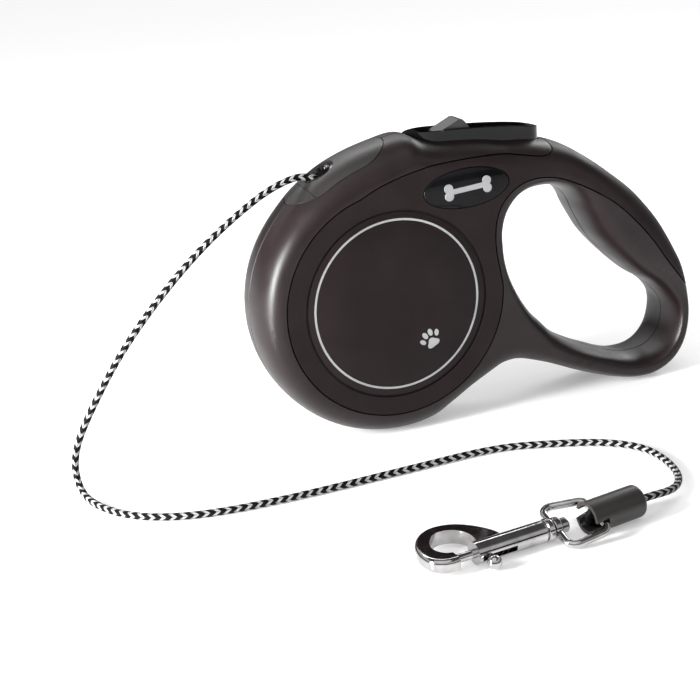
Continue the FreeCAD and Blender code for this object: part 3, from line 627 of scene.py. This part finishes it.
def inward(points, spread=9):
    """Unit normals to the right of travel, averaged over the points on either side."""
    n, found = len(points), []
    for i in range(n):
        a, b = points[(i - 2) % n], points[(i + 2) % n]
        du, dw = b[0] - a[0], b[1] - a[1]
        length = math.hypot(du, dw)
        found.append((dw / length, -du / length))
    smooth = []
    for i in range(n):
        x = sum(found[(i + k) % n][0] for k in range(-spread, spread + 1))
        y = sum(found[(i + k) % n][1] for k in range(-spread, spread + 1))
        length = math.hypot(x, y)
        smooth.append((x / length, y / length))
    return smooth


def eased(value, low, high):
    """From 0 at low to 1 at high, level at both ends."""
    t = min(1.0, max(0.0, (value - low) / (high - low)))
    return t * t * (3 - 2 * t)


HALF_WIDTH = 13.0
SLIMMER = 2.2           # by how much the handle's far corner is slimmer, each side
POWER = 2.35            # the edge's roundness: 2 is a circle's, more is squarer
GROOVE = 0.28           # depth of the groove between the halves
SOLE_W = -39.1          # the flat that the housing stands on
ROUND_SHARE = 0.43      # the most of a strand's width that one side's rounding takes
DROP_SHARE = 0.46       # the most of it that the rounding and the inset take together


def depth_at(u, w):
    """Half the housing's width: the handle's lower and rear strands are a little slimmer."""
    return HALF_WIDTH - SLIMMER * eased(u, 50.0, 78.0) * eased(-w, 2.0, 16.0)


OUTER = closed_curve(DRUM + LOOP, 560)
OUTER_IN = inward(OUTER)
INNER = closed_curve(HOLE, 300)
INNER_IN = [(-x, -y) for x, y in inward(INNER, 5)]
OUTER_ROOM = [min(math.hypot(u - p[0], w - p[1]) for p in INNER) for u, w, _ in OUTER]
INNER_ROOM = [min(math.hypot(u - p[0], w - p[1]) for p in OUTER) for u, w, _ in INNER]


def rim_rings(points, ways, rooms, inset, groove, steps):
    """Rings from the mid-plane round the edge to the flat face, with each point's (u, w, y)."""
    rings = []
    levels = [(0.0, True)] if groove else []
    levels += [(max(i / steps, 0.012 if groove else 0.0), False) for i in range(steps + 1)]
    for level, bottom in levels:
        angle = level * math.pi / 2
        s = math.sin(angle)
        ring = []
        for (u, w, a), (x, y), room in zip(points, ways, rooms):
            depth = depth_at(u, w) - inset
            a = min(a, ROUND_SHARE * room)
            drop = a * (1 - (1 - s ** POWER) ** (1 / POWER)) + inset
            drop = min(drop, DROP_SHARE * room)
            if bottom:
                drop += GROOVE
            ring.append((u + x * drop, max(w + y * drop, inset + SOLE_W), -depth * s))
        rings.append(ring)
    if inset > 0:
        # A core reaches past the mid-plane, so that it cuts clean through
        rings.insert(0, [(u, w, 1.0) for u, w, _ in rings[0]])
    return rings


def body_mesh(name, inset=0.0, groove=False, steps=16):
    """The left half of the housing's form, less an inset all over, closed at the mid-plane."""
    outer = rim_rings(OUTER, OUTER_IN, OUTER_ROOM, inset, groove, steps)
    inner = rim_rings(INNER, INNER_IN, INNER_ROOM, inset, groove, steps)
    made = bmesh.new()

    def sweep(rings, flip):
        rows = [[made.verts.new(face_point(u, w, y)) for u, w, y in ring] for ring in rings]
        count = len(rows[0])
        for a, b in zip(rows, rows[1:]):
            for j in range(count):
                k = (j + 1) % count
                quad = (a[j], a[k], b[k], b[j])
                made.faces.new(quad[::-1] if flip else quad)
        return rows

    rows_out, rows_in = sweep(outer, False), sweep(inner, True)

    def fill(k, y_of):
        """Triangles between the outer and the inner ring, on a grid where y_of is given."""
        ring_out, ring_in = outer[k], inner[k]
        coords = [Vector((p[0], p[1])) for p in ring_out + ring_in]
        n, m = len(ring_out), len(ring_in)
        edges = [(i, (i + 1) % n) for i in range(n)]
        edges += [(n + i, n + (i + 1) % m) for i in range(m)]
        faces = [list(range(n))[::-1], list(range(n, n + m))[::-1]]
        grid = []
        if y_of:
            for i in range(-20, 51):
                for j in range(-20, 23):
                    grid.append(Vector((i * 2.0, j * 2.0)))
        found, _, tris, origin, _, origin_faces = delaunay_2d_cdt(
            coords + grid, edges, faces, 1, 1e-6)
        verts = []
        for co, source in zip(found, origin):
            source = [q for q in source if q < n + m]
            if source:
                q = source[0]
                verts.append(rows_out[k][q] if q < n else rows_in[k][q - n])
            else:
                verts.append(made.verts.new(face_point(co.x, co.y, y_of(co.x, co.y))))
        for tri, regions in zip(tris, origin_faces):
            if 1 in regions or 0 not in regions or len(set(tri)) < 3:
                continue
            corner = [verts[q] for q in tri]
            if len(set(corner)) == 3:
                try:
                    made.faces.new(corner)
                except ValueError:
                    pass

    fill(len(outer) - 1, lambda u, w: -(depth_at(u, w) - inset))
    fill(0, None)
    loose = [v for v in made.verts if not v.link_faces]
    bmesh.ops.delete(made, geom=loose, context="VERTS")
    bmesh.ops.recalc_face_normals(made, faces=made.faces)
    data = bpy.data.meshes.new(name)
    made.to_mesh(data)
    made.free()
    return data


def tool(name, data):
    made = bpy.data.objects.new(name, data)
    scene.collection.objects.link(made)
    return made


def core(inset):
    """The space inside a wall of the given thickness."""
    return tool("core", body_mesh("core", inset, steps=10))


def prism(verts):
    """A closed prism from its two ends' points."""
    n = len(verts) // 2
    faces = [(j, (j + 1) % n, n + (j + 1) % n, n + j) for j in range(n)]
    faces += [tuple(range(n))[::-1], tuple(range(n, 2 * n))]
    data = mesh_of("tool", verts, faces, False)
    made = bmesh.new()
    made.from_mesh(data)
    bmesh.ops.recalc_face_normals(made, faces=made.faces)
    made.to_mesh(data)
    made.free()
    return tool("tool", data)


def prism_tool(outline, y0, y1):
    """A prism along Y from an outline in (u, w)."""
    return prism([face_point(u, w, y) for y in (y0, y1) for u, w in outline])


def upright_tool(outline, w0, w1, turn=0.0, at=(0.0, 0.0)):
    """A prism that stands up from an outline in (along, y), turned in the drum's plane."""
    c, s = math.cos(turn), math.sin(turn)
    return prism([face_point(at[0] + x * c - h * s, at[1] + x * s + h * c, y)
                  for h in (w0, w1) for x, y in outline])


def applied(piece):
    """A new mesh with the piece's modifiers in it, in place of the old one."""
    bpy.context.view_layer.update()
    shaped = piece.evaluated_get(bpy.context.evaluated_depsgraph_get())
    data = bpy.data.meshes.new_from_object(shaped)
    piece.modifiers.clear()
    piece.data = data


def cut(target, other, operation="DIFFERENCE"):
    """Cuts one solid with another, which is used up."""
    modifier = target.modifiers.new("cut", "BOOLEAN")
    modifier.operation = operation
    modifier.solver = "EXACT"
    modifier.object = other
    old = target.data
    applied(target)
    bpy.data.meshes.remove(old)
    bpy.data.objects.remove(other)


def circle(radius, count=128):
    """A circle whose points keep off the axes, where other solids have theirs."""
    return [(radius * math.cos(2 * math.pi * (j + 0.37) / count),
             radius * math.sin(2 * math.pi * (j + 0.37) / count)) for j in range(count)]


def open_spline(points, parts=10):
    out = []
    padded = [points[0]] + list(points) + [points[-1]]
    for four in zip(padded, padded[1:], padded[2:], padded[3:]):
        out += [through(four, j / parts) for j in range(parts)]
    return out + [tuple(points[-1])]


def offset_line(points, distance):
    """The line moved to the right of its travel."""
    out = []
    for i, (u, w) in enumerate(points):
        a, b = points[max(0, i - 1)], points[min(len(points) - 1, i + 1)]
        du, dw = b[0] - a[0], b[1] - a[1]
        length = math.hypot(du, dw) or 1.0
        out.append((u + dw / length * distance, w - du / length * distance))
    return out


COVER_R = 32.45
COVER_LOWER = [
    (32.45, 0.4), (31.3, 6.7), (30.8, 12.9), (31.3, 18.7), (33.1, 23.2), (36.4, 26.8),
    (40.4, 28.9), (45.4, 29.6), (51.5, 28.6), (57.5, 26.1), (64.1, 22.4), (70.7, 17.7),
    (76.7, 11.8), (82.1, 5.4), (86.8, -1.4), (91.6, -7.6), (95.6, -11.8), (99.5, -14.6),
    (104.0, -17.0)]
COVER_UPPER = [
    (52.6, 40.5), (51.6, 37.6), (50.3, 36.1), (47.1, 35.4), (40.7, 36.5), (34.4, 37.6),
    (25.0, 38.0), (14.2, 37.7), (9.5, 37.1), (2.6, 35.6), (-3.7, 33.6), (-8.9, 31.2)]


def cover_outline(grow):
    """The cover's boundary: round the drum's face, above the finger opening, over the spine."""
    radius = COVER_R + grow
    lower, upper = ([p for p in offset_line(open_spline(line), grow) if math.hypot(*p) > radius]
                    for line in (COVER_LOWER, COVER_UPPER))
    start = math.atan2(COVER_UPPER[-1][1], COVER_UPPER[-1][0])
    end = math.atan2(COVER_LOWER[0][1], COVER_LOWER[0][0])
    arc = []
    for i in range(121):
        a = start + (end + 2 * math.pi - start) * i / 120
        arc.append((radius * math.cos(a), radius * math.sin(a)))
    beyond = [(112.0, -15.0), (112.0, 55.0), (upper[0][0] + 1.0, 55.0)]
    return arc + lower + beyond + upper


def half_pill(front, rear, half):
    """The button's outline from above: pointed in front, round behind.

    It is moved a hair sideways, so that no vertex lies on the mid-plane.
    """
    points = [(rear - half + half * math.sin(a), half * math.cos(a))
              for a in (math.pi * j / 17 for j in range(18))]
    lower = [(front + (PILL_FULL - front) * t, -half * math.sin(math.pi / 2 * t) ** 0.8)
             for t in (1 - j / 10 for j in range(10))]
    upper = [(x, -y) for x, y in lower[::-1]]
    return [(x, y + 0.011) for x, y in points + lower + [(front, 0.0)] + upper]


def insert_outline(grow):
    """The outlet insert from outside: a slot's form across the rim."""
    half = INSERT_HALF_WIDTH + grow
    straight = INSERT_HALF_LENGTH + grow - half
    right = [(straight + half * math.cos(a), half * math.sin(a))
             for a in (math.radians(-90 + 7.2 * j) for j in range(26))]
    return right + [(-x, -y) for x, y in right]


BUTTON_SLOT = (8.8, 51.4, 5.3)      # front, rear and half the width
PILL_FULL = 18.0                    # where the button's point reaches its full width
INSERT_ANGLE = math.radians(107.0)
INSERT_TURN = math.radians(107.0 - 90.0)
INSERT_AT = (30 * math.cos(INSERT_ANGLE), 30 * math.sin(INSERT_ANGLE))
INSERT_HALF_LENGTH, INSERT_HALF_WIDTH = 15.9, 9.9
BUSH_AT, BUSH_TURN = (-15.9, 38.0), math.radians(115.5 - 90.0)
BAY = [(10.6, 28.5), (10.6, 41.5), (34.0, 40.2), (51.3, 37.0), (51.3, 32.4), (34.5, 32.4),
       (33.5, 34.5), (19.0, 34.5), (18.5, 26.0)]


def badge_outline(grow):
    return ellipse(BADGE_AT, (BADGE_SEMI[0] + grow, BADGE_SEMI[1] + grow), BADGE_TILT, 96)


def crisp(piece, angle=35.0):
    """Smooth shading, with sharp edges kept sharp."""
    for polygon in piece.data.polygons:
        polygon.use_smooth = True
    piece.data.set_sharp_from_angle(angle=math.radians(angle))


def softened(piece, width, angle=32.0):
    """Rounds the edges that are sharper than the angle."""
    modifier = piece.modifiers.new("edges", "BEVEL")
    modifier.width = width * MM
    modifier.segments = 2
    modifier.limit_method = "ANGLE"
    modifier.angle_limit = math.radians(angle)
    modifier.use_clamp_overlap = True
    applied(piece)
    crisp(piece)


def mirrored_copy(piece):
    data = piece.data.copy()
    data.transform(Matrix.Diagonal((1, -1, 1, 1)))
    data.flip_normals()
    return data


# The left half and its cover, which the right side mirrors
seat = prism_tool(cover_outline(0.30), -16, 0.5)
cut(seat, core(1.95))
recess = upright_tool(insert_outline(0.25), 0, 20, INSERT_TURN, INSERT_AT)
cut(recess, core(2.2))
half = tool("half", body_mesh("half", groove=True))
cut(half, seat)
cut(half, recess)
cut(half, prism_tool(circle(33.5), -9.0, 2.0))
cut(half, upright_tool(half_pill(*BUTTON_SLOT), 33.0, 60.0))
cut(half, prism_tool(BAY, -5.1, 2.0))
cut(half, upright_tool(circle(4.15, 40), -9.0, 4.0, BUSH_TURN, BUSH_AT))
crisp(half)
cover = tool("cover", body_mesh("cover", groove=True))
cut(cover, prism_tool(cover_outline(-0.08), -16, 0.5), "INTERSECT")
cut(cover, upright_tool(half_pill(*BUTTON_SLOT), 33.0, 60.0))
cut(cover, core(1.8))
cut(cover, prism_tool(circle(27.2), -16.0, -12.45))
cut(cover, prism_tool(badge_outline(0.2), -16.0, -12.0))
crisp(cover)
for side, name in ((1, "left"), (-1, "right")):
    for part, slot_name, material, source, node_name in (
            ("_shell", "shell_plastic", SHELL, half, "_housing"),
            ("_face_cover", "cover_plastic", COVER, cover, "_side_cover")):
        data = source.data.copy() if side == 1 else mirrored_copy(source)
        linked(name + part, data, "housing", slot_name, material, name + node_name)
bpy.data.objects.remove(half)
bpy.data.objects.remove(cover)

# ---------------------------------------------------------------- outlet
SEAM = math.radians(121.5)
SEAM_GAP = 0.06         # half the gap between the insert and its lip


def seam_tool(x0, x1):
    """All that lies between two distances from the seam."""
    return upright_tool([(x0, -20), (x1, -20), (x1, 20), (x0, 20)], 0, 60, SEAM - math.pi / 2,
                        (2 * math.cos(SEAM), 2 * math.sin(SEAM)))


whole = tool("whole", body_mesh("whole"))
cut(whole, upright_tool(insert_outline(0.0), 0, 20, INSERT_TURN, INSERT_AT), "INTERSECT")
cut(whole, core(2.0))
cut(whole, tool("other", mirrored_copy(whole)), "UNION")
cut(whole, upright_tool(circle(4.05, 48), -9.0, 6.0, BUSH_TURN, BUSH_AT))
cut(whole, upright_tool(circle(4.85, 48), -1.62, 6.0, BUSH_TURN, BUSH_AT))
lip = tool("lip", whole.data.copy())
cut(lip, seam_tool(-SEAM_GAP, 40))
cut(whole, seam_tool(-40, SEAM_GAP))
for piece, name, source in ((whole, "insert", "outlet_insert"), (lip, "insert_lip", "outlet_lip")):
    crisp(piece)
    linked(name, piece.data.copy(), "housing", "insert_plastic", INSERT, source)
    bpy.data.objects.remove(piece)


# ---------------------------------------------------------------- pieces from CAD meshes
def own_mesh(source):
    """A copy of a CAD node's mesh, in place and without its material."""
    data = bpy.data.objects[source].data.copy()
    data.transform(bpy.data.objects[source].matrix_world)
    data.materials.clear()
    return data


# The thumb parts and the snap, with their edges rounded by a width in millimetres
for source, name, body, slot_name, material, width in (
        ("brake_button", "button", "brake", "button_gloss", BUTTON, 0.30),
        ("lock_slider", "slider", "lock", "slider_satin", SLIDER, 0.25),
        ("snap_hook", "hook", "snap", "chrome", CHROME, 0.80)):
    piece = tool(source + "_soft", own_mesh(source))
    softened(piece, width)
    linked(name, piece.data.copy(), body, slot_name, material, source)
    bpy.data.objects.remove(piece)

# The rear screw sits a little further in, under the rounder cover, and its head further down
screws = linked("screws", own_mesh("housing_screws"), "housing", "steel", STEEL, "housing_screws")
REAR_SCREW_X, HEAD_Y = 45.0, 8.5
for vertex in screws.data.vertices:
    if vertex.co.x > REAR_SCREW_X * MM:
        vertex.co.x -= 3.8 * MM
        vertex.co.z += 0.9 * MM
        if vertex.co.y > HEAD_Y * MM:
            vertex.co.y -= 1.5 * MM

# The springs, copied from the CAD nodes, each with a mesh of its own
button_coil = linked("button_coil", own_mesh("button_spring"), "housing", "spring_steel", SPRING,
                     "button_spring")
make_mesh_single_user(button_coil)
bolt_coil = linked("bolt_coil", own_mesh("bolt_spring"), "snap", "spring_steel", SPRING,
                   "bolt_spring")
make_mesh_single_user(bolt_coil)

# ---------------------------------------------------------------- carried-over nodes
MATERIALS = {
    "shell_plastic": SHELL, "cover_plastic": COVER, "label_print": LABEL, "badge_gloss": BADGE,
    "insert_plastic": INSERT, "bush_gloss": BUSH, "button_gloss": BUTTON,
    "slider_satin": SLIDER, "reel_plastic": REEL, "steel": STEEL, "spring_steel": SPRING,
    "chrome": CHROME, "cord_braid": BRAID, "cap_rubber": RUBBER,
}
for part in frame["record"]["subparts"]:
    found = bpy.data.objects[part["node"]]
    for slot in found.material_slots:
        slot.material = MATERIALS[part["material_slot"]]


# ---------------------------------------------------------------- floor and light
def floor():
    """A pale glossy floor that glows a little, and more so away from the object."""
    corners = [(-12, -12), (12, -12), (12, 12), (-12, 12)]
    data = mesh_of("floor", [(x, y, -0.00002) for x, y in corners], [(0, 1, 2, 3)])
    material, tree, shader = nodes_of("floor_gloss", (0.90, 0.90, 0.90), 0.16)
    shader.inputs["Emission Color"].default_value = (1.0, 1.0, 1.0, 1.0)
    geometry = tree.nodes.new("ShaderNodeNewGeometry")
    away = node(tree, "ShaderNodeVectorMath", operation="LENGTH")
    tree.links.new(geometry.outputs["Position"], away.inputs[0])
    glow = ranged(tree, away.outputs["Value"], 0.28, 0.66, 0.09, 0.45)
    tree.links.new(glow, shader.inputs["Emission Strength"])
    shader.inputs["Specular IOR Level"].default_value = 0.12
    linked("floor", data, None, None, material)


def area(name, at, target, size, power, size_y):
    data = bpy.data.lights.new(name, "AREA")
    data.energy = power
    data.shape = "RECTANGLE"
    data.size = size
    data.size_y = size_y
    made = bpy.data.objects.new(name, data)
    scene.collection.objects.link(made)
    made.location = at
    way = Vector(target) - Vector(at)
    made.rotation_euler = way.to_track_quat("-Z", "Y").to_euler()


def studio():
    """A grey sky with a light band round it, above the horizon and below the top."""
    world = bpy.data.worlds.new("studio")
    scene.world = world
    world.use_nodes = True
    tree = world.node_tree
    background = tree.nodes["Background"]
    background.inputs["Color"].default_value = (1.0, 1.0, 1.0, 1.0)
    direction = tree.nodes.new("ShaderNodeTexCoord")
    split = tree.nodes.new("ShaderNodeSeparateXYZ")
    tree.links.new(direction.outputs["Generated"], split.inputs["Vector"])
    lift = ranged(tree, split.outputs["Z"], 0.02, 0.66, 0.20, 0.29)
    fade = ranged(tree, split.outputs["Z"], 0.0, 0.56, 0.60, 0.74)
    band = node(tree, "ShaderNodeMath", operation="SUBTRACT")
    tree.links.new(lift, band.inputs[0])
    tree.links.new(fade, band.inputs[1])
    tree.links.new(band.outputs[0], background.inputs["Strength"])


def sun(name, way, strength, softness):
    data = bpy.data.lights.new(name, "SUN")
    data.energy = strength
    data.angle = math.radians(softness)
    made = bpy.data.objects.new(name, data)
    scene.collection.objects.link(made)
    made.rotation_euler = Vector(way).to_track_quat("-Z", "Y").to_euler()


floor()
studio()
sun("overhead", (0.25, 0.30, -1.0), 0.7, 60.0)
area("strip_left", (-0.55, -0.12, 0.13), (-0.03, 0.0, 0.05), 0.10, 9.5, 0.35)
area("strip_right", (0.45, 0.35, 0.30), (0.03, 0.0, 0.05), 0.25, 1.2, 0.25)
area("strip_back", (0.02, 0.42, 0.44), (0.0, 0.0, 0.05), 0.5, 0.8, 0.12)
scene.view_settings.view_transform = "Standard"
